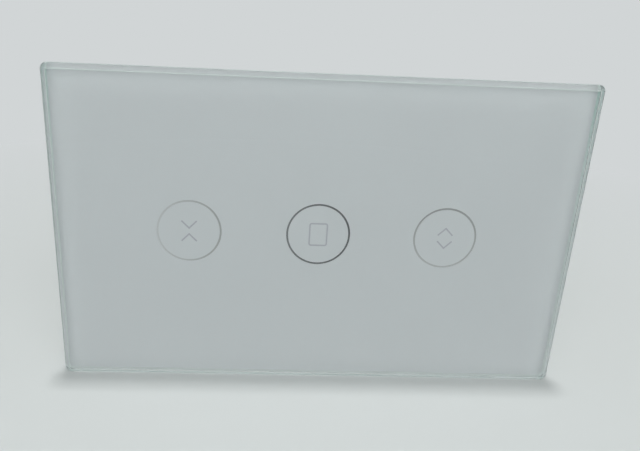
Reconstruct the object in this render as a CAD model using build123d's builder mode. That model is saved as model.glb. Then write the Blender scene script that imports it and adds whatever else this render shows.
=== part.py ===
from build123d import *
import os

# Glass touch switch with three keys that closes, stops and opens a motorised curtain.
# The wall plane is y = 0 and the glass faces -Y. +X runs to the right and +Z is up.
# The origin lies midway between the two wall screws. Every size is in millimetres.

# Glass
panel_width = 120.0
panel_height = 74.0
glass_thickness = 4.0
glass_corner_radius = 1.5
glass_bevel_width = 1.3  # polished bevel round the front, across the face
glass_bevel_depth = 0.7
glass_back_chamfer = 0.4
front_projection = 12.0  # wall plane to the face of the glass

# Print on the back of the glass
ink_thickness = 0.1
ink_edge_margin = 0.5
key_pitch = 30.0
key_count = 3
ring_diameter = 15.0
ring_line_width = 0.45

# Tape that holds the glass
tape_thickness = 0.4
tape_width = 4.0
tape_edge_margin = 1.0

# Carrier that holds the glass and the touch board
carrier_inset = 3.0  # glass edge to carrier side
carrier_wall = 1.6
carrier_web = 1.2
carrier_corner_radius = 2.0
least_corner_radius = 0.4
carrier_edge_chamfer = 0.5
skirt_wall_gap = 0.8  # skirt's rear edge to the wall plane
light_well_bore = 17.4
light_well_wall = 1.0
light_well_board_gap = 0.2
carrier_rib_width = 1.0
carrier_rib_height = 1.2
carrier_rib_offset = 19.0
carrier_boss_diameter = 5.0
carrier_pilot_depth = 2.4
pry_notch_width = 12.0
pry_notch_height = 1.6

# Snap between the carrier and the base
snap_offset = 34.0
snap_length = 10.0
snap_height = 1.0
snap_protrusion = 0.22
snap_groove_depth = 0.3
snap_groove_play = 0.4
snap_front = 4.4  # wall plane to the middle of the snap

# Touch board
board_standoff = 1.8
board_thickness = 1.2
board_side_gap = 6.0  # rim to board edge at the short sides
board_long_gap = 4.0
board_corner_chamfer = 1.5
board_screw_inset = 4.0
board_screw_diameter = 2.0
board_screw_head_diameter = 3.8
board_screw_head_height = 0.9
board_screw_clearance = 0.2
thread_clearance = 0.05

# Light guides, key springs and lights
guide_clearance = 0.15
guide_face = 0.5
guide_ring_wall = 2.0
led_notch_width = 2.6
led_notch_height = 1.2
led_length = 1.6
led_width = 0.8
led_height = 0.7
spring_wire = 0.5
spring_diameter = 9.0
spring_turns = 2
spring_wire_sides = 4

# Base frame
skirt_clearance = 0.3
flange_thickness = 2.0
rim_wall = 1.4
seat_gap = 0.3
pan_wall = 1.5
pan_depth = 3.0
pan_floor = 1.5
pan_corner_radius = 3.0
pan_fit = 0.5
gusset_size = 3.0
gusset_thickness = 1.0
gusset_pitch = 17.0
gusset_count = 3

# Wall screws, for a single device box
wall_screw_spacing = 83.3
wall_slot_width = 4.2
wall_slot_length = 8.0
wall_head_width = 7.2
wall_countersink_depth = 1.1

# Rear housing
housing_width = 68.0
housing_height = 48.0
housing_depth = 25.0
housing_wall = 1.8
housing_corner_radius = 4.0
housing_draft = 0.5
housing_edge_chamfer = 1.0
housing_seat_depth = 0.5  # recess in the flange that takes the housing's front edge
housing_seat_clearance = 0.3
post_inset = 5.8
post_diameter = 6.4
post_gusset_thickness = 1.2
post_gusset_step = 3.0
housing_screw_diameter = 2.6
housing_screw_head_diameter = 4.2
housing_screw_head_height = 1.6
housing_screw_length = 10.0
housing_screw_bore_clearance = 0.2
housing_screw_overrun = 0.4  # screw tip past the pan's floor

# Power board
power_board_gap = 2.0
power_board_thickness = 1.6
power_board_clearance = 0.5
power_board_corner_chamfer = 1.0
board_hole_clearance = 0.15

# Header between the boards
header_pitch = 2.54
header_pin_count = 6
header_pin_size = 0.64
header_pin_length = 5.0  # pin that stands out of the header
header_pin_solder = 0.5
header_pin_clearance = 0.1
header_base_height = 2.5
header_offset = 12.5
socket_end_wall = 0.3
socket_hole_size = 0.9
socket_hole_depth = 5.5
socket_slot_clearance = 0.4

# Terminals
terminal_names = ["line", "neutral", "open", "close"]
terminal_pitch = 7.6
terminal_end_wall = 0.5
terminal_depth = 10.4
terminal_wall = 1.2
terminal_housing_gap = 0.3
terminal_collar = 1.2
terminal_chamfer = 1.6
cage_width = 5.6
cage_length = 5.2
cage_clearance = 0.2
cage_top = 1.6
cage_bottom = 1.2
cage_side = 0.8
cage_board_gap = 0.6
cage_travel = 2.5
wire_gap = 3.0
wire_entry_width = 4.2
wire_entry_height = 3.4
wire_window_margin = 0.2
contact_bar_thickness = 0.8
contact_bar_width = 3.6
contact_bar_gap = 0.2
contact_pin_width = 1.2
contact_pin_solder = 1.0
terminal_screw_diameter = 2.9
terminal_head_diameter = 5.0
terminal_head_height = 2.0
terminal_head_recess = 1.0
screw_running_clearance = 0.05
access_hole_diameter = 5.6

# Recesses in the screw heads
board_recess_width = 0.5
housing_recess_width = 0.8
terminal_slot_width = 0.8
cross_recess_span_share = 0.6
recess_depth_share = 0.5

# Levels in front of the wall plane
glass_back = front_projection - glass_thickness
ink_back = glass_back - ink_thickness
carrier_front = ink_back - tape_thickness
web_back = carrier_front - carrier_web
board_front = web_back - board_standoff
board_back = board_front - board_thickness
rim_front = web_back - seat_gap

# Levels behind the wall plane
pan_floor_rear = pan_depth + pan_floor
power_board_front = pan_floor_rear + power_board_gap
power_board_rear = power_board_front + power_board_thickness
housing_floor = housing_depth - housing_wall
housing_floor_draft = (
    housing_draft * (housing_floor + housing_seat_depth) / (housing_depth + housing_seat_depth)
)
housing_screw_seat = pan_depth - housing_screw_overrun + housing_screw_length

# Outlines that nest in each other
carrier_width = panel_width - 2 * carrier_inset
carrier_height = panel_height - 2 * carrier_inset
cavity_width = carrier_width - 2 * carrier_wall
cavity_height = carrier_height - 2 * carrier_wall
cavity_radius = max(carrier_corner_radius - carrier_wall, least_corner_radius)
base_width = cavity_width - 2 * skirt_clearance
base_height = cavity_height - 2 * skirt_clearance
rim_inner_width = base_width - 2 * rim_wall
rim_inner_height = base_height - 2 * rim_wall
board_width = rim_inner_width - 2 * board_side_gap
board_height = rim_inner_height - 2 * board_long_gap
pan_outer_width = housing_width - 2 * housing_wall - 2 * pan_fit
pan_outer_height = housing_height - 2 * housing_wall - 2 * pan_fit
pan_width = pan_outer_width - 2 * pan_wall
pan_height = pan_outer_height - 2 * pan_wall
power_board_width = pan_outer_width - 2 * power_board_clearance
power_board_height = pan_outer_height - 2 * power_board_clearance

# Places shared by several pieces
board_side = power_board_width / 2
board_top = power_board_height / 2
key_places = [((i - (key_count - 1) / 2) * key_pitch, 0) for i in range(key_count)]
key_names = ["close", "stop", "open"]
board_screw_x = board_width / 2 - board_screw_inset
board_screw_z = board_height / 2 - board_screw_inset
board_screw_places = [(-board_screw_x, board_screw_z), (board_screw_x, -board_screw_z)]
post_x = housing_width / 2 - post_inset
post_z = housing_height / 2 - post_inset
housing_screw_places = [(-post_x, post_z), (post_x, -post_z)]
pin_places = [
    ((i - (header_pin_count - 1) / 2) * header_pitch, header_offset)
    for i in range(header_pin_count)
]
terminal_count = len(terminal_names)
terminal_places = [(i - (terminal_count - 1) / 2) * terminal_pitch for i in range(terminal_count)]


def front_layer(distance):
    """Sketch plane that far in front of the wall plane, looking out of the wall."""
    return Plane.XZ.offset(distance)


def rear_layer(depth):
    """Sketch plane that far behind the wall plane, looking out of the wall."""
    return Plane.XZ.offset(-depth)


def finish(piece, name):
    """Labels a finished piece and writes it to its own STEP file."""
    piece.part.label = name
    export_step(piece.part, f"parts/{name}.step")


# Tempered glass with a polished bevel round the front
with BuildPart() as glass_panel:
    with BuildSketch(front_layer(glass_back)):
        RectangleRounded(panel_width, panel_height, glass_corner_radius)
    extrude(amount=glass_thickness)
    chamfer(glass_panel.faces().sort_by(Axis.Y)[-1].edges(), glass_back_chamfer)
    glass_face = glass_panel.faces().sort_by(Axis.Y)[0]
    chamfer(
        glass_face.edges(),
        length=glass_bevel_width,
        length2=glass_bevel_depth,
        reference=glass_face,
    )
finish(glass_panel, "glass_panel")

# Opaque print behind the glass, with a clear ring round each key
with BuildPart() as ink_mask:
    with BuildSketch(front_layer(ink_back)):
        RectangleRounded(
            panel_width - 2 * ink_edge_margin,
            panel_height - 2 * ink_edge_margin,
            glass_corner_radius,
        )
        with Locations(*key_places):
            Circle(ring_diameter / 2, mode=Mode.SUBTRACT)
            Circle(ring_diameter / 2 - ring_line_width)
    extrude(amount=ink_thickness)
finish(ink_mask, "ink_mask")

# Double-sided tape between the print and the carrier
with BuildPart() as glass_tape:
    with BuildSketch(front_layer(carrier_front)):
        RectangleRounded(
            carrier_width - 2 * tape_edge_margin,
            carrier_height - 2 * tape_edge_margin,
            carrier_corner_radius,
        )
        Rectangle(
            carrier_width - 2 * (tape_edge_margin + tape_width),
            carrier_height - 2 * (tape_edge_margin + tape_width),
            mode=Mode.SUBTRACT,
        )
    extrude(amount=tape_thickness)
finish(glass_tape, "glass_tape")

# Carrier: web behind the glass, skirt, light wells, ribs, bosses and snaps
with BuildPart() as carrier_frame:
    with BuildSketch(front_layer(skirt_wall_gap)):
        RectangleRounded(carrier_width, carrier_height, carrier_corner_radius)
    extrude(amount=carrier_front - skirt_wall_gap)
    chamfer(carrier_frame.faces().sort_by(Axis.Y)[0].edges(), carrier_edge_chamfer)
    with BuildSketch(front_layer(skirt_wall_gap)):
        RectangleRounded(cavity_width, cavity_height, cavity_radius)
    extrude(amount=web_back - skirt_wall_gap, mode=Mode.SUBTRACT)
    with BuildSketch(front_layer(web_back - carrier_rib_height)):
        with Locations((0, carrier_rib_offset), (0, -carrier_rib_offset)):
            Rectangle(rim_inner_width - 2 * skirt_clearance, carrier_rib_width)
        with GridLocations(key_pitch, 0, key_count - 1, 1):
            Rectangle(carrier_rib_width, 2 * carrier_rib_offset)
    extrude(amount=carrier_rib_height)
    with BuildSketch(front_layer(board_front + light_well_board_gap)):
        with Locations(*key_places):
            Circle(light_well_bore / 2 + light_well_wall)
    extrude(amount=board_standoff - light_well_board_gap)
    with BuildSketch(front_layer(board_front)):
        with GridLocations(2 * board_screw_x, 2 * board_screw_z, 2, 2):
            Circle(carrier_boss_diameter / 2)
    extrude(amount=board_standoff)
    with BuildSketch(front_layer(board_front)):
        with Locations(*key_places):
            Circle(light_well_bore / 2)
    extrude(amount=carrier_front - board_front, mode=Mode.SUBTRACT)
    with BuildSketch(front_layer(board_front)):
        with Locations(*board_screw_places):
            Circle(board_screw_diameter / 2 + thread_clearance)
    extrude(amount=carrier_pilot_depth, mode=Mode.SUBTRACT)
    with GridLocations(2 * snap_offset, 0, 2, 1):
        for side, edge in ((1, Align.MAX), (-1, Align.MIN)):
            with Locations((0, -snap_front, side * cavity_height / 2)):
                Box(
                    snap_length,
                    snap_height,
                    snap_protrusion,
                    align=(Align.CENTER, Align.CENTER, edge),
                )
    with Locations((0, -skirt_wall_gap, -carrier_height / 2)):
        Box(
            pry_notch_width,
            2 * pry_notch_height,
            2 * (carrier_wall + skirt_clearance / 2),
            mode=Mode.SUBTRACT,
        )
finish(carrier_frame, "carrier_frame")

# Touch board, seated on the carrier's bosses
with BuildPart() as touch_board:
    with BuildSketch(front_layer(board_back)):
        board_outline = Rectangle(board_width, board_height)
        chamfer(board_outline.vertices(), board_corner_chamfer)
        with Locations(*board_screw_places):
            Circle(board_screw_diameter / 2 + board_screw_clearance, mode=Mode.SUBTRACT)
        pin_hole_size = header_pin_size + 2 * header_pin_clearance
        with Locations(*pin_places):
            Rectangle(pin_hole_size, pin_hole_size, mode=Mode.SUBTRACT)
    extrude(amount=board_thickness)
finish(touch_board, "touch_board")

# Two screws in opposite corners, which clamp the touch board to the carrier
with BuildPart() as touch_board_screws:
    with BuildSketch(front_layer(board_back - board_screw_head_height)):
        with Locations(*board_screw_places):
            Circle(board_screw_head_diameter / 2)
    extrude(amount=board_screw_head_height)
    with BuildSketch(front_layer(board_back - board_screw_head_height)):
        with Locations(*board_screw_places):
            Rectangle(board_screw_head_diameter * cross_recess_span_share, board_recess_width)
            Rectangle(board_recess_width, board_screw_head_diameter * cross_recess_span_share)
    extrude(amount=board_screw_head_height * recess_depth_share, mode=Mode.SUBTRACT)
    with BuildSketch(front_layer(board_back)):
        with Locations(*board_screw_places):
            Circle(board_screw_diameter / 2)
    extrude(amount=board_thickness + carrier_pilot_depth - seat_gap)
finish(touch_board_screws, "touch_board_screws")

# Light guide and touch spring of each key
guide_diameter = light_well_bore - 2 * guide_clearance
guide_front = ink_back
spring_height = guide_front - guide_face - board_front
spring_radius = (spring_diameter - spring_wire) / 2
for name, place in zip(key_names, key_places):
    with BuildPart() as light_guide:
        with BuildSketch(front_layer(board_front)):
            with Locations(place):
                Circle(guide_diameter / 2)
        extrude(amount=guide_front - board_front)
        with BuildSketch(front_layer(board_front)):
            with Locations(place):
                Circle(guide_diameter / 2 - guide_ring_wall)
        extrude(amount=spring_height, mode=Mode.SUBTRACT)
        with BuildSketch(front_layer(board_front)):
            with Locations(place):
                Rectangle(2 * guide_diameter, led_notch_width)
        extrude(amount=led_notch_height, mode=Mode.SUBTRACT)
    finish(light_guide, f"light_guide_{name}")

    with BuildPart() as touch_spring:
        with BuildLine():
            coil = Helix(
                pitch=(spring_height - spring_wire) / spring_turns,
                height=spring_height - spring_wire,
                radius=spring_radius,
                center=(place[0], -board_front - spring_wire / 2, place[1]),
                direction=(0, -1, 0),
            )
        with BuildSketch(Plane(origin=coil @ 0, z_dir=coil % 0)):
            RegularPolygon(spring_wire / 2, spring_wire_sides)
        sweep(path=coil, is_frenet=True)
    finish(touch_spring, f"touch_spring_{name}")

# Lights on the touch board: two under each ring and one behind each symbol
ring_light_offset = guide_diameter / 2 - guide_ring_wall / 2
with BuildPart() as key_lights:
    with BuildSketch(front_layer(board_front)):
        with Locations(*key_places):
            Rectangle(led_width, led_length)
            with GridLocations(2 * ring_light_offset, 0, 2, 1):
                Rectangle(led_width, led_length)
    extrude(amount=led_height)
finish(key_lights, "key_lights")

# Touch controller on the rear of the touch board
chip_length = 9.9
chip_width = 3.9
chip_height = 1.5
chip_lead_width = 0.4
chip_lead_reach = 1.0
chip_lead_height = 0.3
chip_lead_count = 8
chip_lead_pitch = 1.27
chip_place = (15.0, -8.0)
with BuildPart() as touch_chip:
    with BuildSketch(front_layer(board_back - chip_height)):
        with Locations(chip_place):
            Rectangle(chip_length, chip_width)
    extrude(amount=chip_height)
    chamfer(touch_chip.faces().sort_by(Axis.Y)[-1].edges(), chip_lead_height)
    with BuildSketch(front_layer(board_back - chip_lead_height)):
        with Locations(chip_place):
            with GridLocations(chip_lead_pitch, 0, chip_lead_count, 1):
                Rectangle(chip_lead_width, chip_width + 2 * chip_lead_reach)
    extrude(amount=chip_lead_height)
finish(touch_chip, "touch_chip")

# Radio module and its shield can, hanging into the base's pan
radio_place = (-15.0, -6.0)
radio_width = 22.0
radio_height = 16.0
radio_board_thickness = 0.8
radio_antenna_width = 6.0
radio_shield_margin = 1.0
radio_shield_height = 2.0
radio_shield_edge = 0.3
with BuildPart() as radio_board:
    with BuildSketch(front_layer(board_back - radio_board_thickness)):
        with Locations(radio_place):
            Rectangle(radio_width, radio_height)
    extrude(amount=radio_board_thickness)
finish(radio_board, "radio_board")

radio_shield_width = radio_width - radio_antenna_width - radio_shield_margin
radio_shield_x = radio_place[0] + (radio_antenna_width - radio_shield_margin) / 2
radio_shield_front = board_back - radio_board_thickness
with BuildPart() as radio_shield:
    with BuildSketch(front_layer(radio_shield_front - radio_shield_height)):
        with Locations((radio_shield_x, radio_place[1])):
            Rectangle(radio_shield_width, radio_height - 2 * radio_shield_margin)
    extrude(amount=radio_shield_height)
    chamfer(radio_shield.faces().sort_by(Axis.Y)[-1].edges(), radio_shield_edge)
finish(radio_shield, "radio_shield")

# Header that plugs the front panel into the power board
header_length = header_pin_count * header_pitch
header_base_rear = board_back - header_base_height
with BuildPart() as header_base:
    with BuildSketch(front_layer(header_base_rear)):
        with Locations((0, header_offset)):
            Rectangle(header_length, header_pitch)
        with Locations(*pin_places):
            Rectangle(header_pin_size, header_pin_size, mode=Mode.SUBTRACT)
    extrude(amount=header_base_height)
finish(header_base, "header_base")

with BuildPart() as header_pins:
    with BuildSketch(front_layer(header_base_rear - header_pin_length)):
        with Locations(*pin_places):
            Rectangle(header_pin_size, header_pin_size)
    extrude(amount=board_front + header_pin_solder - header_base_rear + header_pin_length)
    chamfer(header_pins.faces().sort_by(Axis.Y)[-header_pin_count:].edges(), header_pin_size / 4)
finish(header_pins, "header_pins")

# Base frame: flange on the wall, rim inside the skirt, and a pan over the rear housing
with BuildPart() as base_frame:
    with BuildSketch(front_layer(0)):
        RectangleRounded(base_width, base_height, cavity_radius)
    extrude(amount=rim_front)
    with BuildSketch(front_layer(flange_thickness)):
        RectangleRounded(rim_inner_width, rim_inner_height, cavity_radius)
    extrude(amount=rim_front - flange_thickness, mode=Mode.SUBTRACT)
    with BuildSketch(rear_layer(0)):
        RectangleRounded(
            housing_width + 2 * housing_seat_clearance,
            housing_height + 2 * housing_seat_clearance,
            housing_corner_radius + housing_seat_clearance,
        )
    extrude(amount=housing_seat_depth, mode=Mode.SUBTRACT)
    with BuildSketch(front_layer(housing_seat_depth)):
        RectangleRounded(pan_outer_width, pan_outer_height, pan_corner_radius)
    extrude(amount=-housing_seat_depth - pan_floor_rear)
    with BuildSketch(rear_layer(power_board_front)):
        with GridLocations(2 * post_x, 2 * post_z, 2, 2):
            Circle(post_diameter / 2)
    extrude(amount=power_board_gap)
    with BuildSketch(front_layer(flange_thickness)):
        RectangleRounded(pan_width, pan_height, pan_corner_radius - pan_wall)
    extrude(amount=-flange_thickness - pan_depth, mode=Mode.SUBTRACT)
    with BuildSketch(rear_layer(power_board_front)):
        with Locations(*housing_screw_places):
            Circle(housing_screw_diameter / 2 + thread_clearance)
    extrude(amount=power_board_front - pan_depth, mode=Mode.SUBTRACT)
    with BuildSketch(rear_layer(pan_floor_rear)):
        with Locations((0, header_offset)):
            Rectangle(
                header_length + 2 * (socket_end_wall + socket_slot_clearance),
                header_pitch + 2 * socket_slot_clearance,
            )
    extrude(amount=pan_floor, mode=Mode.SUBTRACT)
    with BuildSketch(front_layer(0)):
        with GridLocations(wall_screw_spacing, 0, 2, 1):
            SlotOverall(wall_slot_length, wall_slot_width)
    extrude(amount=flange_thickness, mode=Mode.SUBTRACT)
    for wall_screw_x in (-wall_screw_spacing / 2, wall_screw_spacing / 2):
        with BuildSketch(front_layer(flange_thickness)):
            with Locations((wall_screw_x, 0)):
                SlotOverall(wall_slot_length + wall_head_width - wall_slot_width, wall_head_width)
        with BuildSketch(front_layer(flange_thickness - wall_countersink_depth)):
            with Locations((wall_screw_x, 0)):
                SlotOverall(wall_slot_length, wall_slot_width)
        loft(mode=Mode.SUBTRACT)
    with GridLocations(2 * snap_offset, 0, 2, 1):
        for side, edge in ((1, Align.MAX), (-1, Align.MIN)):
            with Locations((0, -snap_front, side * base_height / 2)):
                Box(
                    snap_length + 2 * snap_groove_play,
                    snap_height + 2 * snap_groove_play,
                    snap_groove_depth,
                    align=(Align.CENTER, Align.CENTER, edge),
                    mode=Mode.SUBTRACT,
                )
    for i in range(gusset_count):
        gusset_z = (i - (gusset_count - 1) / 2) * gusset_pitch
        with BuildSketch(Plane.XY.offset(gusset_z)):
            with BuildLine():
                Polyline(
                    (rim_inner_width / 2, -flange_thickness),
                    (rim_inner_width / 2, -flange_thickness - gusset_size),
                    (rim_inner_width / 2 - gusset_size, -flange_thickness),
                    close=True,
                )
            make_face()
            mirror(about=Plane.YZ)
        extrude(amount=gusset_thickness / 2, both=True)
finish(base_frame, "base_frame")

# Rear housing: drafted shell with posts, wire windows and screw access holes
terminal_bottom = -(housing_height / 2 - housing_wall - housing_draft - terminal_housing_gap)
cage_middle = terminal_bottom + terminal_wall + cage_clearance + cage_length / 2
cage_rest = power_board_rear + cage_board_gap
contact_bar_front = cage_rest + cage_bottom + wire_gap
contact_bar_rear = contact_bar_front + contact_bar_thickness
wire_middle = contact_bar_front - wire_gap / 2
rear_face = Plane(origin=(0, housing_depth, 0), x_dir=(1, 0, 0), z_dir=(0, 1, 0))
with BuildPart() as rear_housing:
    with BuildSketch(front_layer(housing_seat_depth)):
        RectangleRounded(housing_width, housing_height, housing_corner_radius)
    with BuildSketch(rear_layer(housing_depth)):
        RectangleRounded(
            housing_width - 2 * housing_draft,
            housing_height - 2 * housing_draft,
            housing_corner_radius - housing_draft,
        )
    loft()
    chamfer(rear_housing.faces().sort_by(Axis.Y)[-1].edges(), housing_edge_chamfer)
    with BuildSketch(front_layer(housing_seat_depth)):
        RectangleRounded(
            housing_width - 2 * housing_wall,
            housing_height - 2 * housing_wall,
            housing_corner_radius - housing_wall,
        )
    with BuildSketch(rear_layer(housing_floor)):
        RectangleRounded(
            housing_width - 2 * (housing_wall + housing_floor_draft),
            housing_height - 2 * (housing_wall + housing_floor_draft),
            housing_corner_radius - housing_wall - housing_floor_draft,
        )
    loft(mode=Mode.SUBTRACT)
    with BuildSketch(rear_layer(housing_floor)):
        with GridLocations(2 * post_x, 2 * post_z, 2, 2):
            Circle(post_diameter / 2)
    extrude(amount=housing_floor - power_board_rear)
    with BuildSketch(rear_layer(housing_floor)):
        for side in (-1, 1):
            with GridLocations(0, 2 * post_z, 1, 2):
                with Locations((side * (post_x + post_inset / 2 - housing_wall / 2), 0)):
                    Rectangle(post_inset - housing_wall, post_gusset_thickness)
            with GridLocations(2 * post_x, 0, 2, 1):
                with Locations((0, side * (post_z + post_inset / 2 - housing_wall / 2))):
                    Rectangle(post_gusset_thickness, post_inset - housing_wall)
    extrude(amount=housing_floor - power_board_rear - post_gusset_step)
    with Locations(rear_face):
        with Locations(*[(x, -z) for x, z in housing_screw_places]):
            CounterBoreHole(
                radius=housing_screw_diameter / 2 + housing_screw_bore_clearance,
                counter_bore_radius=housing_screw_head_diameter / 2 + housing_screw_bore_clearance,
                counter_bore_depth=housing_depth - housing_screw_seat,
                depth=housing_depth - power_board_rear,
            )
        with Locations(*[(x, -cage_middle) for x in terminal_places]):
            Hole(radius=access_hole_diameter / 2, depth=housing_wall)
    for x in terminal_places:
        with Locations((x, wire_middle, -housing_height / 2)):
            Box(
                wire_entry_width + 2 * wire_window_margin,
                wire_entry_height + 2 * wire_window_margin,
                3 * housing_wall,
                mode=Mode.SUBTRACT,
            )
finish(rear_housing, "rear_housing")

# Two screws in opposite corners, which pull the rear housing onto the base frame
with BuildPart() as housing_screws:
    with BuildSketch(rear_layer(housing_screw_seat)):
        with Locations(*housing_screw_places):
            Circle(housing_screw_head_diameter / 2)
    extrude(amount=-housing_screw_head_height)
    with BuildSketch(rear_layer(housing_screw_seat + housing_screw_head_height)):
        with Locations(*housing_screw_places):
            Rectangle(housing_screw_head_diameter * cross_recess_span_share, housing_recess_width)
            Rectangle(housing_recess_width, housing_screw_head_diameter * cross_recess_span_share)
    extrude(amount=housing_screw_head_height * recess_depth_share, mode=Mode.SUBTRACT)
    with BuildSketch(rear_layer(housing_screw_seat)):
        with Locations(*housing_screw_places):
            Circle(housing_screw_diameter / 2)
    extrude(amount=housing_screw_length)
finish(housing_screws, "housing_screws")

# Terminal block with one pocket for each cage
terminal_length = terminal_count * terminal_pitch + 2 * terminal_end_wall
pocket_width = cage_width + 2 * cage_clearance
pocket_front = terminal_bottom + terminal_wall
pocket_back = terminal_bottom + terminal_depth - terminal_wall
collar_front = contact_bar_rear + contact_bar_gap + cage_top + cage_travel + cage_clearance
collar_rear = collar_front + terminal_collar
terminal_rear = collar_rear + terminal_head_height + terminal_head_recess
with BuildPart() as terminal_block:
    with BuildSketch(rear_layer(power_board_rear)):
        with Locations((0, terminal_bottom + terminal_depth / 2)):
            Rectangle(terminal_length, terminal_depth)
    extrude(amount=power_board_rear - terminal_rear)
    chamfer(
        terminal_block.faces().sort_by(Axis.Y)[-1].edges().sort_by(Axis.Z)[-1],
        terminal_chamfer,
    )
    with BuildSketch(rear_layer(power_board_rear)):
        with Locations(*[(x, (pocket_front + pocket_back) / 2) for x in terminal_places]):
            Rectangle(pocket_width, pocket_back - pocket_front)
    extrude(amount=power_board_rear - collar_front, mode=Mode.SUBTRACT)
    collar_opening = terminal_screw_diameter + 2 * cage_clearance
    with BuildSketch(rear_layer(collar_front)):
        with Locations(*[(x, cage_middle) for x in terminal_places]):
            Rectangle(collar_opening, collar_opening)
    extrude(amount=collar_front - terminal_rear, mode=Mode.SUBTRACT)
    with BuildSketch(rear_layer(collar_rear)):
        with Locations(*[(x, cage_middle) for x in terminal_places]):
            Circle(terminal_head_diameter / 2 + cage_clearance)
    extrude(amount=collar_rear - terminal_rear, mode=Mode.SUBTRACT)
    for x in terminal_places:
        with Locations((x, wire_middle, terminal_bottom)):
            Box(
                wire_entry_width,
                wire_entry_height,
                2 * terminal_wall,
                mode=Mode.SUBTRACT,
            )
finish(terminal_block, "terminal_block")

# One screw, one rising cage and one contact bar for each wire
contact_leg_back = pocket_back - cage_clearance
contact_leg_middle = contact_leg_back - contact_bar_thickness / 2
contact_bar_start = pocket_front + cage_clearance
for name, x in zip(terminal_names, terminal_places):
    with BuildPart() as terminal_screw:
        with BuildSketch(rear_layer(collar_rear)):
            with Locations((x, cage_middle)):
                Circle(terminal_head_diameter / 2)
        extrude(amount=-terminal_head_height)
        with BuildSketch(rear_layer(collar_rear + terminal_head_height)):
            with Locations((x, cage_middle)):
                Rectangle(terminal_head_diameter, terminal_slot_width)
        extrude(amount=terminal_head_height * recess_depth_share, mode=Mode.SUBTRACT)
        with BuildSketch(rear_layer(collar_rear)):
            with Locations((x, cage_middle)):
                Circle(terminal_screw_diameter / 2)
        extrude(amount=collar_rear - contact_bar_rear - screw_running_clearance)
    finish(terminal_screw, f"terminal_screw_{name}")

    cage_height = cage_bottom + wire_gap + contact_bar_thickness + contact_bar_gap + cage_top
    with BuildPart() as terminal_cage:
        with BuildSketch(rear_layer(cage_rest)):
            with Locations((x, cage_middle)):
                Rectangle(cage_width, cage_length)
        extrude(amount=-cage_height)
        with Locations((x, cage_rest + cage_bottom, cage_middle)):
            Box(
                cage_width - 2 * cage_side,
                cage_height - cage_bottom - cage_top,
                cage_length,
                align=(Align.CENTER, Align.MIN, Align.CENTER),
                mode=Mode.SUBTRACT,
            )
        with BuildSketch(rear_layer(cage_rest + cage_height)):
            with Locations((x, cage_middle)):
                Circle(terminal_screw_diameter / 2 + screw_running_clearance)
        extrude(amount=cage_top, mode=Mode.SUBTRACT)
    finish(terminal_cage, f"terminal_cage_{name}")

    with BuildPart() as contact_bar:
        with Locations((x, contact_bar_front, contact_bar_start)):
            Box(
                contact_bar_width,
                contact_bar_thickness,
                contact_leg_back - contact_bar_start,
                align=(Align.CENTER, Align.MIN, Align.MIN),
            )
        with Locations((x, power_board_rear, contact_leg_back)):
            Box(
                contact_bar_width,
                contact_bar_rear - power_board_rear,
                contact_bar_thickness,
                align=(Align.CENTER, Align.MIN, Align.MAX),
            )
        with Locations((x, power_board_front - contact_pin_solder, contact_leg_back)):
            Box(
                contact_pin_width,
                power_board_thickness + contact_pin_solder,
                contact_bar_thickness,
                align=(Align.CENTER, Align.MIN, Align.MAX),
            )
    finish(contact_bar, f"contact_bar_{name}")

# Power board, held between the posts' shoulders and the pan
with BuildPart() as power_board:
    with BuildSketch(rear_layer(power_board_rear)):
        power_board_outline = Rectangle(power_board_width, power_board_height)
        chamfer(power_board_outline.vertices(), power_board_corner_chamfer)
        with Locations(*housing_screw_places):
            Circle(housing_screw_diameter / 2 + board_hole_clearance, mode=Mode.SUBTRACT)
        with Locations(*[(x, contact_leg_middle) for x in terminal_places]):
            Rectangle(
                contact_pin_width + 2 * board_hole_clearance,
                contact_bar_thickness + 2 * board_hole_clearance,
                mode=Mode.SUBTRACT,
            )
    extrude(amount=power_board_thickness)
finish(power_board, "power_board")

# Socket that the header plugs into
socket_front = header_base_rear - seat_gap
with BuildPart() as header_socket:
    with BuildSketch(rear_layer(power_board_front)):
        with Locations((0, header_offset)):
            Rectangle(header_length + 2 * socket_end_wall, header_pitch)
    extrude(amount=power_board_front + socket_front)
    with BuildSketch(front_layer(socket_front)):
        with Locations(*pin_places):
            Rectangle(socket_hole_size, socket_hole_size)
    extrude(amount=-socket_hole_depth, mode=Mode.SUBTRACT)
finish(header_socket, "header_socket")

# Two relays, one for each direction of the motor, clear of the posts
relay_length = 17.8
relay_width = 10.1
relay_height = 12.3
relay_edge = 0.5
relay_gap = 1.2
relay_terminal_gap = 1.7
relay_side_gap = 6.5
relay_x = relay_side_gap + relay_length / 2 - board_side
relay_close_z = terminal_bottom + terminal_depth + relay_terminal_gap + relay_width / 2
relay_open_z = relay_close_z + relay_width + relay_gap
relay_places = {"relay_close": (relay_x, relay_close_z), "relay_open": (relay_x, relay_open_z)}
for name, place in relay_places.items():
    with BuildPart() as relay:
        with BuildSketch(rear_layer(power_board_rear)):
            with Locations(place):
                Rectangle(relay_length, relay_width)
        extrude(amount=-relay_height)
        chamfer(relay.edges().filter_by(Axis.Y), relay_edge)
        chamfer(relay.faces().sort_by(Axis.Y)[-1].edges(), relay_edge)
    finish(relay, name)

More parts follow.
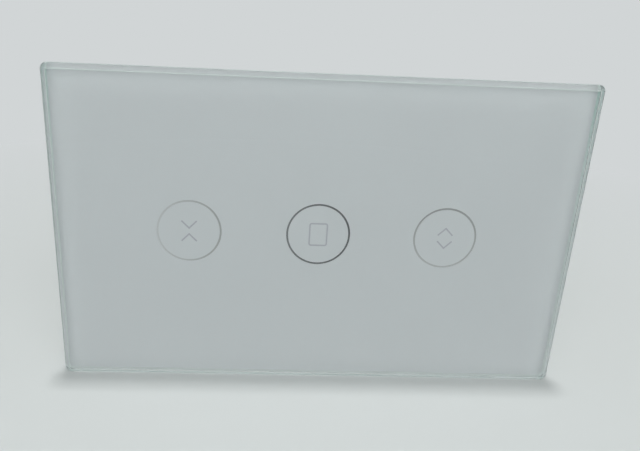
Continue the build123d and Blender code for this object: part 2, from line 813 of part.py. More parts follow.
# Transformer: ferrite core round a wound bobbin
transformer_place = (board_side - 12.7, 0.0)
core_width = 13.2
core_height = 11.6
core_depth = 6.0
core_limb = 2.4
core_centre_limb = 3.4
bobbin_fit = 0.15
bobbin_flange = 1.0
bobbin_overhang = 2.6
bobbin_foot = 1.6
window_height = core_height - 2 * core_limb
window_width = (core_width - 2 * core_limb - core_centre_limb) / 2
window_offset = (core_centre_limb + window_width) / 2
core_front = power_board_rear + bobbin_foot
core_plane = Plane(
    origin=(transformer_place[0], core_front + core_height / 2, transformer_place[1]),
    x_dir=(1, 0, 0),
    z_dir=(0, 0, 1),
)
with BuildPart() as transformer_core:
    with BuildSketch(core_plane):
        Rectangle(core_width, core_height)
        with GridLocations(2 * window_offset, 0, 2, 1):
            Rectangle(window_width, window_height, mode=Mode.SUBTRACT)
    extrude(amount=core_depth / 2, both=True)
finish(transformer_core, "transformer_core")

coil_width = core_centre_limb + 2 * window_width - 2 * bobbin_fit
coil_depth = core_depth + 2 * bobbin_overhang
coil_height = window_height - 2 * bobbin_fit
with BuildPart() as transformer_coil:
    with BuildSketch(rear_layer(core_front + core_limb + bobbin_fit)):
        with Locations(transformer_place):
            RectangleRounded(coil_width, coil_depth, bobbin_flange)
            Rectangle(
                core_centre_limb + 2 * bobbin_fit,
                core_depth + 2 * bobbin_fit,
                mode=Mode.SUBTRACT,
            )
    extrude(amount=-coil_height)
    with BuildSketch(rear_layer(power_board_rear)):
        with Locations(transformer_place):
            with GridLocations(0, core_depth + bobbin_overhang + 2 * bobbin_fit, 1, 2):
                Rectangle(coil_width, bobbin_overhang - 2 * bobbin_fit)
    extrude(amount=-bobbin_foot - core_limb - bobbin_fit)
finish(transformer_coil, "transformer_coil")

# Interference capacitor across the supply, along the board's upper edge
film_capacitor_length = 13.0
film_capacitor_width = 5.0
film_capacitor_height = 11.0
film_capacitor_edge = 0.6
film_capacitor_edge_gap = 1.7
film_capacitor_z = board_top - film_capacitor_edge_gap - film_capacitor_width / 2
with BuildPart() as film_capacitor:
    with BuildSketch(rear_layer(power_board_rear)):
        with Locations((0, film_capacitor_z)):
            Rectangle(film_capacitor_length, film_capacitor_width)
    extrude(amount=-film_capacitor_height)
    chamfer(film_capacitor.faces().sort_by(Axis.Y)[-1].edges(), film_capacitor_edge)
finish(film_capacitor, "film_capacitor")

# Electrolytic capacitors, standing on the power board
mains_capacitor_place = (3.0, -1.0)
mains_capacitor_diameter = 8.0
mains_capacitor_height = 12.0
supply_capacitor_diameter = 6.3
supply_capacitor_height = 9.0
supply_capacitor_gap = 1.0
supply_capacitor_x = 1.5
supply_capacitor_z = (
    film_capacitor_z
    - film_capacitor_width / 2
    - supply_capacitor_gap
    - supply_capacitor_diameter / 2
)
capacitor_groove = 0.3
capacitor_bung = 1.2
groove_end = 2.4
groove_middle = (capacitor_bung + groove_end) / 2
capacitors = [
    ("mains_capacitor", mains_capacitor_place, mains_capacitor_diameter, mains_capacitor_height),
    (
        "supply_capacitor",
        (supply_capacitor_x, supply_capacitor_z),
        supply_capacitor_diameter,
        supply_capacitor_height,
    ),
]
for name, place, diameter, height in capacitors:
    with BuildPart() as capacitor:
        with BuildSketch(Plane(origin=(place[0], 0, place[1]), z_dir=(0, 0, 1))):
            with BuildLine():
                Polyline(
                    (0, power_board_rear),
                    (diameter / 2, power_board_rear),
                    (diameter / 2, power_board_rear + capacitor_bung),
                    (diameter / 2 - capacitor_groove, power_board_rear + groove_middle),
                    (diameter / 2, power_board_rear + groove_end),
                    (diameter / 2, power_board_rear + height),
                    (0, power_board_rear + height),
                    close=True,
                )
            make_face()
        revolve(axis=Axis((place[0], 0, place[1]), (0, 1, 0)))
    finish(capacitor, name)

# Surge absorber: a disc on two leads
varistor_place = (board_side - 15.7, board_top - 6.7)
varistor_diameter = 10.0
varistor_thickness = 4.0
varistor_edge = 0.8
varistor_stand = 1.5
varistor_lead = 0.6
varistor_lead_pitch = 5.0
varistor_middle = power_board_rear + varistor_stand + varistor_diameter / 2
with BuildPart() as varistor:
    with BuildSketch(Plane.XY.offset(varistor_place[1] - varistor_thickness / 2)):
        with Locations((varistor_place[0], varistor_middle)):
            Circle(varistor_diameter / 2)
    extrude(amount=varistor_thickness)
    chamfer(varistor.edges().filter_by(GeomType.CIRCLE), varistor_edge)
    with BuildSketch(rear_layer(power_board_rear)):
        with Locations(varistor_place):
            with GridLocations(varistor_lead_pitch, 0, 2, 1):
                Rectangle(varistor_lead, varistor_lead)
    extrude(amount=power_board_rear - varistor_middle)
finish(varistor, "varistor")

# Fuse in a narrow moulded case
fuse_place = (board_side - 8.85, -11.0)
fuse_width = 4.3
fuse_length = 8.4
fuse_height = 7.7
fuse_edge = 0.4
with BuildPart() as fuse:
    with BuildSketch(rear_layer(power_board_rear)):
        with Locations(fuse_place):
            Rectangle(fuse_width, fuse_length)
    extrude(amount=-fuse_height)
    chamfer(fuse.faces().sort_by(Axis.Y)[-1].edges(), fuse_edge)
finish(fuse, "fuse")
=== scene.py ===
"""Dresses a glass touch switch for a motor curtain: its glass, print, boards, base and terminals."""

import math

import bmesh
import bpy
from mathutils import Matrix, Vector


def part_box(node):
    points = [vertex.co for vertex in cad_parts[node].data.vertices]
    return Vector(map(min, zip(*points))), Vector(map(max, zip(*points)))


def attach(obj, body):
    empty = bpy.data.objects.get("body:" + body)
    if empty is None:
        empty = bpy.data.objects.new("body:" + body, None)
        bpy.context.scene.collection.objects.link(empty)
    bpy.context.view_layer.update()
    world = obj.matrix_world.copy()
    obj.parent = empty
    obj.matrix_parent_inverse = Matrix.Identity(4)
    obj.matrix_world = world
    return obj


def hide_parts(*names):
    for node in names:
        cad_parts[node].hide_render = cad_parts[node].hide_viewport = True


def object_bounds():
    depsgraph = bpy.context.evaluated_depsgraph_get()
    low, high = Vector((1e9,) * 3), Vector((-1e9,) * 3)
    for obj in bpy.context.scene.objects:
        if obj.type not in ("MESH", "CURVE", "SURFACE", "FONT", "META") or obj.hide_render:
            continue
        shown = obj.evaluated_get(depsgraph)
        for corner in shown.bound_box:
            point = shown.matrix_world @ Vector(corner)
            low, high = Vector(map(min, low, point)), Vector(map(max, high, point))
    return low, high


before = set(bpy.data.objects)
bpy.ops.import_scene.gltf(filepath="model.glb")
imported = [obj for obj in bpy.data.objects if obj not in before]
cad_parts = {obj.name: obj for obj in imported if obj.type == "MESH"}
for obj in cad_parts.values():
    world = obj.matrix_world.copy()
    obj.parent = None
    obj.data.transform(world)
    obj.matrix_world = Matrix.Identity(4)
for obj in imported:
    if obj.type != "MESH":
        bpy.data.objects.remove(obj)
cad_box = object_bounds()

bl_info = {
    "name": "Curtain Touch Switch",
    "version": (1, 0, 0),
    "blender": (4, 5, 0),
    "location": "View3D > Sidebar > Curtain Switch",
    "description": "Dresses a glass touch switch for a motor curtain, with its boards, base and terminals",
    "category": "Object",
}

MM = 0.001
KEYS = ("close", "stop", "open")
WIRES = ("line", "neutral", "open", "close")

# The colour sockets of a Mix node, which share their names with its other sockets
MIX_FIRST = 6
MIX_SECOND = 7
MIX_RESULT = 2

# The painted reflection on each light guide's ring: its darkest tone and its lightest, which stand in for the
# room mirrored in it
GUIDE_REFLECTION_TONES = {
    "close": ("#ABAFAD", "#DADEDE"),
    "stop": ("#3D4244", "#777C7E"),
    "open": ("#979B9A", "#C8CCCB"),
}

# Each lamp: its name, its place, its width and its height in metres, and its power in watts
LAMPS = (
    ("front_lamp", (0.0, -1.5, 1.2), 3.4, 1.6, 28.0),
    ("ceiling_lamp", (0.0, 0.13, 3.0), 0.2, 0.2, 36.7),
)


def linear(hex_colour):
    """The linear colour, with full alpha, of an sRGB hex value."""
    channels = [int(hex_colour[i : i + 2], 16) / 255 for i in (1, 3, 5)]
    return tuple(c / 12.92 if c <= 0.04045 else ((c + 0.055) / 1.055) ** 2.4 for c in channels) + (1.0,)


def number_prop(name, description, default, least=0.0):
    """A plain number with a lowest value."""
    return bpy.props.FloatProperty(name=name, description=description, default=default, min=least)


def angle_prop(name, description, degrees):
    """An angle, kept in radians and shown in degrees."""
    return bpy.props.FloatProperty(
        name=name, description=description, default=math.radians(degrees), subtype="ANGLE"
    )


def length_prop(name, description, default):
    """A length in metres that the sidebar shows in the scene's unit."""
    return bpy.props.FloatProperty(
        name=name, description=description, default=default, min=0.0, precision=5, unit="LENGTH"
    )


def colour_prop(name, description, default):
    """A colour whose default is an sRGB hex value."""
    return bpy.props.FloatVectorProperty(
        name=name,
        description=description,
        default=linear(default),
        size=4,
        min=0.0,
        max=1.0,
        subtype="COLOR",
    )


class GlassSettings(bpy.types.PropertyGroup):
    """Sizes and colour of the glass slab."""

    corner_radius: length_prop("Corner Radius", "Radius of the slab's four corners", 1.5 * MM)
    bevel_width: length_prop("Bevel Width", "Width of the polished bevel, across the face", 1.3 * MM)
    bevel_depth: length_prop("Bevel Depth", "Depth of the polished bevel, down the side", 0.7 * MM)
    back_bevel: length_prop("Back Bevel", "Small bevel round the back", 0.4 * MM)
    arris: length_prop("Arris", "Rounding where two faces meet", 0.12 * MM)
    tint: colour_prop("Tint", "Colour that thick glass takes on", "#A8E0D4")
    tint_density: number_prop("Tint Density", "Strength of the tint for each metre of glass", 1.4)


class PrintSettings(bpy.types.PropertyGroup):
    """Sizes and colours of what is printed on the back of the glass."""

    margin: length_prop("Margin", "Clear glass round the print", 0.5 * MM)
    sink: length_prop("Sink", "How far the fired print reaches into the glass", 0.02 * MM)
    ring_diameter: length_prop("Ring Diameter", "Outer diameter of a key's clear ring", 15.0 * MM)
    ring_line: length_prop("Ring Line", "Width of a key's clear ring", 0.45 * MM)
    key_pitch: length_prop("Key Pitch", "Distance from one key to the next", 30.0 * MM)
    symbol_line: length_prop("Symbol Line", "Width of a symbol's printed line", 0.34 * MM)
    chevron_width: length_prop("Chevron Width", "Width of an arrowhead", 3.5 * MM)
    chevron_height: length_prop("Chevron Height", "Height of an arrowhead", 1.75 * MM)
    chevron_gap: length_prop("Chevron Gap", "Distance between a key's two arrowheads", 1.45 * MM)
    stop_width: length_prop("Stop Width", "Width of the stop symbol", 4.4 * MM)
    stop_height: length_prop("Stop Height", "Height of the stop symbol", 5.7 * MM)
    stop_radius: length_prop("Stop Radius", "Corner radius of the stop symbol", 0.6 * MM)
    enamel: colour_prop("Enamel", "Pale opaque print behind the glass", "#E5EAEB")
    enamel_shade: colour_prop("Enamel Shade", "Faint clouds in the print", "#E1E6E7")
    symbol_ink: colour_prop("Symbol Ink", "Grey ink of the three symbols", "#BCBFC6")


class StageSettings(bpy.types.PropertyGroup):
    """The table, the light and the camera."""

    table: colour_prop("Table", "Pale table", "#CACECD")
    backdrop: colour_prop("Backdrop", "What the far end of the table shows", "#D1D5D6")
    room: colour_prop("Room", "Light of the room round the table", "#D2D6D6")
    room_light: number_prop("Room Light", "Strength of the room's even light", 0.47)
    table_size: length_prop("Table Size", "Side of the square table", 3.0)
    bend_radius: length_prop("Bend Radius", "Radius of the table's turn up into the backdrop", 0.5)
    backdrop_height: length_prop("Backdrop Height", "Height of the backdrop above the table", 1.5)
    focal_length: number_prop("Focal Length", "Camera lens in millimetres", 24.56, least=1.0)
    azimuth: angle_prop("Azimuth", "Camera's turn about the upright", -2.091)
    elevation: angle_prop("Elevation", "Camera's height angle", 13.479)
    roll: angle_prop("Roll", "Camera's tilt about its own axis", 2.450)
    distance: length_prop("Distance", "From the camera to the point it looks at", 95.56 * MM)
    target: bpy.props.FloatVectorProperty(
        name="Target",
        description="Point that the camera looks at",
        default=(-8.555 * MM, -12 * MM, 16.742 * MM),
        unit="LENGTH",
    )
    shift: bpy.props.FloatVectorProperty(
        name="Shift",
        description="How far the picture's middle is off the lens's axis, as a share of its width",
        default=(0.0548, -0.0924),
        size=2,
    )


# Nodes and materials


def add_node(tree, kind, inputs=None, **settings):
    """Adds a node with its settings; an input is a value, or another node's output to link."""
    node = tree.nodes.new(kind)
    for name, value in settings.items():
        setattr(node, name, value)
    for name, value in (inputs or {}).items():
        if isinstance(value, bpy.types.NodeSocket):
            tree.links.new(value, node.inputs[name])
        else:
            node.inputs[name].default_value = value
    return node


def new_material(name):
    """A node material and its empty tree, or the one of that name that is there already and no tree."""
    material = bpy.data.materials.get(name)
    if material:
        return material, None
    material = bpy.data.materials.new(name)
    material.use_nodes = True
    material.node_tree.nodes.clear()
    return material, material.node_tree


def finish_material(tree, shader, volume=None):
    """Joins the shader, and a volume where there is one, to the material's output."""
    output = add_node(tree, "ShaderNodeOutputMaterial", {"Surface": shader.outputs["BSDF"]})
    if volume:
        tree.links.new(volume.outputs["Volume"], output.inputs["Volume"])


def cloudy_colour(tree, place, patch, colour, shade, detail=2.0):
    """Two linear colours in soft clouds over patches of one size in millimetres."""
    scale = 1 / (patch * MM)
    clouds = add_node(
        tree, "ShaderNodeTexNoise", {"Vector": place.outputs["Object"], "Scale": scale, "Detail": detail}
    )
    tones = {0: clouds.outputs["Fac"], MIX_FIRST: colour, MIX_SECOND: shade}
    return add_node(tree, "ShaderNodeMix", tones, data_type="RGBA").outputs[MIX_RESULT]


def fine_relief(tree, place, grain, height, strength=1.0, detail=2.0):
    """An uneven skin, with grains of one size and height in millimetres."""
    scale = 1 / (grain * MM)
    grit = add_node(
        tree, "ShaderNodeTexNoise", {"Vector": place.outputs["Object"], "Scale": scale, "Detail": detail}
    )
    slopes = {"Strength": strength, "Distance": height * MM, "Height": grit.outputs["Fac"]}
    return add_node(tree, "ShaderNodeBump", slopes).outputs["Normal"]


def grained(name, colour, shade, patch, grain, relief, roughness, ior=1.5, metallic=0.0):
    """A surface with clouds in its colour and a grain on it; patch, grain and relief are in millimetres.

    The real grains are mostly too fine to show, so they are drawn as coarse as they need to be.
    """
    material, tree = new_material(name)
    if tree is None:
        return material
    place = add_node(tree, "ShaderNodeTexCoord")
    tone = cloudy_colour(tree, place, patch, linear(colour), linear(shade), detail=3.0)
    normal = fine_relief(tree, place, grain, relief)
    shader = add_node(
        tree,
        "ShaderNodeBsdfPrincipled",
        {"Base Color": tone, "Roughness": roughness, "IOR": ior, "Metallic": metallic, "Normal": normal},
    )
    finish_material(tree, shader)
    return material


def printed(name, colour, shade, patch, roughness):
    """A flat printed layer, with its two colours in clouds."""
    material, tree = new_material(name)
    if tree is None:
        return material
    place = add_node(tree, "ShaderNodeTexCoord")
    tone = cloudy_colour(tree, place, patch, colour, shade)
    shader = add_node(
        tree, "ShaderNodeBsdfPrincipled", {"Base Color": tone, "Roughness": roughness, "IOR": 1.5}
    )
    finish_material(tree, shader)
    return material


def float_glass(name, settings, finish, **relief):
    """Float glass, with a faint tint through its depth and the finish and skin of one of its surfaces."""
    material, tree = new_material(name)
    if tree is None:
        return material
    place = add_node(tree, "ShaderNodeTexCoord")
    normal = fine_relief(tree, place, **relief)
    shader = add_node(tree, "ShaderNodeBsdfPrincipled", {"IOR": 1.52, "Normal": normal, **finish})
    depth = add_node(
        tree, "ShaderNodeVolumeAbsorption", {"Color": settings.tint, "Density": settings.tint_density}
    )
    finish_material(tree, shader, depth)
    return material


def polished_glass(settings):
    """Tempered float glass, polished: clear, sharp reflections and a faint roller wave."""
    finish = {"Base Color": linear("#FFFFFF"), "Roughness": 0.0, "Transmission Weight": 1.0}
    return float_glass(
        "polished_float_glass", settings, finish, grain=40, height=0.02, strength=0.3, detail=1.0
    )


def ground_glass(settings):
    """Float glass, ground fine at its edges: half clear, and it blurs what shows in it."""
    finish = {"Base Color": linear("#DDE5E3"), "Roughness": 0.35, "Transmission Weight": 0.5}
    return float_glass("ground_edge_glass", settings, finish, grain=0.25, height=0.01, strength=0.5)


def print_enamel(settings):
    """Screen-printed glass enamel: opaque, even and matt, with the faintest clouds."""
    return printed("screen_print_enamel", settings.enamel, settings.enamel_shade, patch=30, roughness=0.6)


def symbol_ink(settings):
    """Translucent grey printing ink: thin, so its tone varies a little along the line."""
    return printed("grey_symbol_ink", settings.symbol_ink, linear("#C8CBD0"), patch=1.2, roughness=0.5)


def smoked_guide(key):
    """Moulded smoked acrylic, with a painted reflection: each guide has its own tones, lighter towards one
    side.
    """
    material, tree = new_material(f"smoked_acrylic_painted_reflection_{key}")
    if tree is None:
        return material
    dim, bright = GUIDE_REFLECTION_TONES[key]
    low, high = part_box(f"light_guide_{key}")
    place = add_node(tree, "ShaderNodeTexCoord")
    across = add_node(tree, "ShaderNodeSeparateXYZ", {"Vector": place.outputs["Object"]})
    # Painted reflection: the tone runs from light to dark across the guide, along x, or along z for the open
    # key
    way, start, end = ("Z", low.z, high.z) if key == "open" else ("X", low.x, high.x)
    share = add_node(
        tree, "ShaderNodeMapRange", {"Value": across.outputs[way], "From Min": start, "From Max": end}
    )
    tone = add_node(
        tree,
        "ShaderNodeMix",
        {0: share.outputs["Result"], MIX_FIRST: linear(bright), MIX_SECOND: linear(dim)},
        data_type="RGBA",
    )
    shader = add_node(
        tree,
        "ShaderNodeBsdfPrincipled",
        {"Base Color": tone.outputs[MIX_RESULT], "Roughness": 0.3, "IOR": 1.49},
    )
    finish_material(tree, shader)
    return material


def solder_mask():
    """Green solder mask, screened over copper: glossy, paler over copper, with the glass cloth showing."""
    copper_patch = 16 * MM
    cloth_thread = 3.2 * MM
    material, tree = new_material("green_solder_mask")
    if tree is None:
        return material
    place = add_node(tree, "ShaderNodeTexCoord")
    pours = add_node(
        tree,
        "ShaderNodeTexVoronoi",
        {"Vector": place.outputs["Object"], "Scale": 1 / copper_patch, "Randomness": 0.8},
        distance="CHEBYCHEV",
    )
    tone = add_node(
        tree,
        "ShaderNodeMix",
        {0: pours.outputs["Color"], MIX_FIRST: linear("#1A5C32"), MIX_SECOND: linear("#226F3E")},
        data_type="RGBA",
    )
    # Real threads are finer; drawn this coarse, they show
    weave = add_node(
        tree,
        "ShaderNodeTexWave",
        {"Vector": place.outputs["Object"], "Scale": 1 / cloth_thread, "Distortion": 0.2},
        bands_direction="DIAGONAL",
    )
    bump = add_node(
        tree, "ShaderNodeBump", {"Strength": 0.4, "Distance": 0.01 * MM, "Height": weave.outputs["Fac"]}
    )
    shader = add_node(
        tree,
        "ShaderNodeBsdfPrincipled",
        {
            "Base Color": tone.outputs[MIX_RESULT],
            "Roughness": 0.28,
            "IOR": 1.55,
            "Normal": bump.outputs["Normal"],
        },
    )
    finish_material(tree, shader)
    return material


def white_abs():
    """Moulded white ABS: satin, with the fine grain of a spark-eroded mould; its blue-grey is painted shade,
    matched to the shaded band under the glass.
    """
    return grained(
        "moulded_white_abs_painted_shade", "#BCC2C2", "#B8BEBE",
        patch=15, grain=0.4, relief=0.012, roughness=0.42, ior=1.54,
    )


def base_polycarbonate():
    """Moulded flame-retardant polycarbonate: a warmer white and a coarser, duller grain."""
    return grained(
        "moulded_polycarbonate", "#E4E3DD", "#DBDAD4",
        patch=18, grain=0.6, relief=0.03, roughness=0.5, ior=1.58,
    )


def foam_tape():
    """Acrylic foam tape, die-cut, with fine open cells: white and matt, but coloured grey as painted shade
    where it shows through the glass's clear margin.
    """
    return grained(
        "acrylic_foam_tape_painted_shade", "#C4CACA", "#BAC1C1",
        patch=2, grain=0.3, relief=0.04, roughness=0.85,
    )


def masked_copper():
    """A copper track under the green mask: lighter than the board, because the metal shines through."""
    return grained(
        "masked_copper", "#3C8F55", "#34844C",
        patch=5, grain=0.5, relief=0.004, roughness=0.25, ior=1.55,
    )


def module_mask():
    """Blue solder mask, screened on the radio module: deep and glossy."""
    return grained(
        "blue_solder_mask", "#1B3F7C", "#163468",
        patch=6, grain=0.5, relief=0.006, roughness=0.28, ior=1.55,
    )


def tinned_steel():
    """Tin-plated steel, pressed: soft grey reflections, slightly clouded."""
    return grained(
        "tin_plated_steel", "#C9C8C4", "#B9B9B6",
        patch=3, grain=0.2, relief=0.008, roughness=0.3, metallic=1.0,
    )


def solder():
    """Reflowed tin solder: bright and round, a little dull in places."""
    return grained(
        "reflowed_solder", "#CFCFCC", "#B5B5B2",
        patch=0.8, grain=0.3, relief=0.01, roughness=0.22, metallic=1.0,
    )


def black_nylon():
    """Moulded glass-filled nylon: near black, with pale fibre flecks and a dull skin."""
    return grained(
        "glass_filled_nylon", "#17181A", "#24262A",
        patch=0.9, grain=0.15, relief=0.015, roughness=0.55, ior=1.53,
    )


def black_epoxy():
    """Transfer-moulded epoxy of a chip: charcoal and finely matt."""
    return grained(
        "moulded_chip_epoxy", "#1D1E20", "#25272A",
        patch=1.5, grain=0.1, relief=0.01, roughness=0.6, ior=1.55,
    )


def chip_ceramic():
    """Fired ceramic of a chip capacitor: tan and satin."""
    return grained(
        "fired_ceramic", "#9A7A55", "#8B6C49",
        patch=0.8, grain=0.1, relief=0.005, roughness=0.45, ior=1.6,
    )


def gold_contact():
    """Gold-flashed brass: a warm soft shine."""
    return grained(
        "gold_flashed_brass", "#E0BE62", "#D2AF55",
        patch=1, grain=0.1, relief=0.003, roughness=0.25, metallic=1.0,
    )


def nickel_wire():
    """Nickel-plated spring wire, drawn: bright, and hardly uneven."""
    return grained(
        "nickel_plated_wire", "#C9C6BD", "#B9B6AE",
        patch=1, grain=0.1, relief=0.004, roughness=0.22, metallic=1.0,
    )


def zinc_plate():
    """Zinc-plated steel, barrel-plated: bluish and slightly uneven."""
    return grained(
        "zinc_plated_steel", "#BFC3C8", "#A9AEB4",
        patch=1.2, grain=0.2, relief=0.01, roughness=0.32, metallic=1.0,
    )


def plated_cage():
    """Nickel-plated steel of a rising cage, pressed and tumbled: warm grey, with soft reflections."""
    return grained(
        "nickel_plated_steel", "#C6C3B8", "#B3B0A6",
        patch=1.5, grain=0.2, relief=0.01, roughness=0.3, metallic=1.0,
    )


def tinned_brass():
    """Tinned brass bar, stamped: grey-gold."""
    return grained(
        "tinned_brass", "#C3B692", "#B3A784",
        patch=2, grain=0.2, relief=0.008, roughness=0.34, metallic=1.0,
    )


def relay_cover():
    """Moulded polybutylene cover of a relay: deep blue with a satin skin."""
    return grained(
        "moulded_relay_cover", "#1F4E8C", "#1B457D",
        patch=6, grain=0.3, relief=0.01, roughness=0.38, ior=1.55,
    )


def sintered_ferrite():
    """Sintered ferrite: dark, gritty and dull."""
    return grained(
        "sintered_ferrite", "#2B2B2D", "#363638",
        patch=1, grain=0.2, relief=0.03, roughness=0.7, ior=1.6,
    )


def winding_tape():
    """Polyester winding tape: yellow and glossy, a little uneven over the wire."""
    return grained(
        "polyester_tape", "#DDBB3A", "#CCA92E",
        patch=3, grain=1.2, relief=0.03, roughness=0.3, ior=1.6,
    )


def shrink_sleeve():
    """Shrunk vinyl sleeve of a capacitor: dark and glossy."""
    return grained(
        "shrunk_vinyl_sleeve", "#1B1C24", "#24252E",
        patch=4, grain=0.5, relief=0.008, roughness=0.3, ior=1.53,
    )


def capacitor_box():
    """Moulded box of a film capacitor: yellow with a satin skin."""
    return grained(
        "moulded_capacitor_box", "#DFBC35", "#D3B02E",
        patch=5, grain=0.3, relief=0.01, roughness=0.4, ior=1.55,
    )


def dipped_epoxy():
    """Dipped epoxy of a surge absorber: blue, thick and uneven."""
    return grained(
        "dipped_epoxy", "#2A5EA8", "#244F90",
        patch=3, grain=1.5, relief=0.08, roughness=0.28, ior=1.55,
    )


def fuse_case():
    """Moulded phenolic of a fuse: dark brown and dense."""
    return grained(
        "moulded_phenolic", "#2E1E16", "#3A281E",
        patch=2, grain=0.2, relief=0.008, roughness=0.4, ior=1.6,
    )


def terminal_nylon():
    """Moulded nylon of a terminal block: leaf green with a waxy skin."""
    return grained(
        "moulded_green_nylon", "#2F8A4B", "#287C42",
        patch=5, grain=0.3, relief=0.01, roughness=0.4, ior=1.53,
    )


def light_emitter():
    """Cast silicone over a light: pale yellow and soft."""
    return grained(
        "cast_phosphor_silicone", "#EFE0A8", "#E6D48E",
        patch=0.6, grain=0.1, relief=0.005, roughness=0.35, ior=1.41,
    )


# Meshes


def add_piece(name, mesh, materials, body, replaced=()):
    """Makes an object of the mesh, with its materials, its body and the solids that it stands for."""
    bmesh.ops.recalc_face_normals(mesh, faces=mesh.faces)
    data = bpy.data.meshes.new(name)
    mesh.to_mesh(data)
    mesh.free()
    for material in materials:
        data.materials.append(material)
    piece = bpy.data.objects.new(name, data)
    bpy.context.scene.collection.objects.link(piece)
    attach(piece, body)
    if replaced:
        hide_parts(*replaced)
    return piece


def soften(piece, width):
    """Rounds the piece's sharp edges, shades it smooth across them, and returns the rounding."""
    for face in piece.data.polygons:
        face.use_smooth = True
    bevel = piece.modifiers.new("soft_edges", "BEVEL")
    bevel.width = width
    bevel.segments = 2
    bevel.limit_method = "ANGLE"
    bevel.angle_limit = math.radians(25)
    bevel.harden_normals = True
    return bevel


def dress(material, *nodes):
    """Gives a material to CAD nodes whose shape stays."""
    for node in nodes:
        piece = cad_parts[node]
        if not piece.material_slots:
            piece.data.materials.append(material)
        for place in piece.material_slots:
            place.material = material


def rounded_loop(width, height, radius, front, centre=(0, 0), segments=12):
    """Points round a rectangle with round corners, that far in front of the wall."""
    loop = []
    for quarter, (side_x, side_z) in enumerate(((1, 1), (-1, 1), (-1, -1), (1, -1))):
        for step in range(segments + 1):
            angle = math.pi / 2 * (quarter + step / segments)
            x = centre[0] + side_x * (width / 2 - radius) + radius * math.cos(angle)
            z = centre[1] + side_z * (height / 2 - radius) + radius * math.sin(angle)
            loop.append(Vector((x, -front, z)))
    return loop


def circle(centre, radius, level, steps):
    """Points round a circle about a middle in x and z, at one level in y."""
    turn = [math.tau * step / steps for step in range(steps)]
    return [Vector((centre[0] + radius * math.cos(a), level, centre[1] + radius * math.sin(a))) for a in turn]


def skin(mesh, loops, ring=False):
    """Faces from each loop of points to the next; a ring joins its ends, anything else has them closed."""
    rows = [[mesh.verts.new(point) for point in loop] for loop in loops]
    pairs = list(zip(rows, rows[1:]))
    if ring:
        pairs.append((rows[-1], rows[0]))
    for here, there in pairs:
        for i in range(len(here)):
            j = (i + 1) % len(here)
            mesh.faces.new((here[i], here[j], there[j], there[i]))
    if not ring:
        mesh.faces.new(rows[0])
        mesh.faces.new(rows[-1])


def ribbon(mesh, points, width, front, back):
    """A flat line of one width through (x, z) points, mitred at its corners."""
    least_cosine = 0.2
    loops = []
    for i, point in enumerate(points):
        here = Vector(point)
        before = (here - Vector(points[i - 1])).normalized() if i else None
        after = (Vector(points[i + 1]) - here).normalized() if i + 1 < len(points) else None
        along = ((before or after) + (after or before)).normalized()
        across = Vector((-along.y, along.x))
        square = Vector((-(after or before).y, (after or before).x))
        reach = width / 2 / max(across.dot(square), least_cosine)
        left = here + across * reach
        right = here - across * reach
        corners = ((left, front), (right, front), (right, back), (left, back))
        loops.append([(p.x, -level, p.y) for p, level in corners])
    skin(mesh, loops)


def block(mesh, low, high):
    """A box from its lowest to its highest corner."""
    size = Vector(high) - Vector(low)
    place = Matrix.Translation((Vector(high) + Vector(low)) / 2) @ Matrix.Diagonal((*size, 1))
    bmesh.ops.create_cube(mesh, size=1, matrix=place)


def pad(mesh, middle, size, low, high):
    """A box on a board: its middle and its size in x and z, and the two levels in y it lies between."""
    x, z = middle
    half = Vector(size) / 2
    block(mesh, (x - half.x, low, z - half.y), (x + half.x, high, z + half.y))


def dome(mesh, middle, radius, height, level):
    """A round solder joint that stands on the rear of a board, towards the wall."""
    steps = 5
    around = 20
    loops = []
    for step in range(steps):
        share = math.pi / 2 * step / steps
        loops.append(circle(middle, radius * math.cos(share), level + height * math.sin(share), around))
    skin(mesh, loops)


def key_places(pitch):
    """The middle of each key in x and z, left to right."""
    return [((i - 1) * pitch, 0.0) for i in range(len(KEYS))]


# Pieces


class SWITCH_OT_glass(bpy.types.Operator):
    """Adds the clear glass slab, polished, with its corners, arrises and back bevel ground"""

    bl_idname = "switch.glass"
    bl_label = "Glass Panel"

    def execute(self, context):
        settings = context.scene.switch_glass
        low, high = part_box("glass_panel")
        width = high.x - low.x
        height = high.z - low.z
        profile = (
            (settings.back_bevel, -high.y),
            (0.0, -high.y + settings.back_bevel),
            (0.0, -low.y - settings.bevel_depth),
            (settings.bevel_width, -low.y),
        )
        loops = []
        for inset, front in profile:
            radius = settings.corner_radius - inset if inset < settings.corner_radius else settings.arris
            loops.append(rounded_loop(width - 2 * inset, height - 2 * inset, radius, front))
        mesh = bmesh.new()
        skin(mesh, loops)
        ground = self.grind(mesh, len(loops[0]))
        glass = add_piece(
            "glass_slab",
            mesh,
            [polished_glass(settings), ground_glass(settings)],
            "front_panel",
            ["glass_panel"],
        )
        soften(glass, settings.arris).material = ground
        return {"FINISHED"}

    def grind(self, mesh, around):
        """Gives ground glass to the back bevel and to the side's corners, and returns its index.

        The faces of the back bevel come first, and then those of the side.
        """
        ground = 1
        sides = 4
        for index, face in enumerate(list(mesh.faces)[: 2 * around]):
            on_corner = (index + 1) % (around // sides) != 0
            if index < around or on_corner:
                face.material_index = ground
        return ground


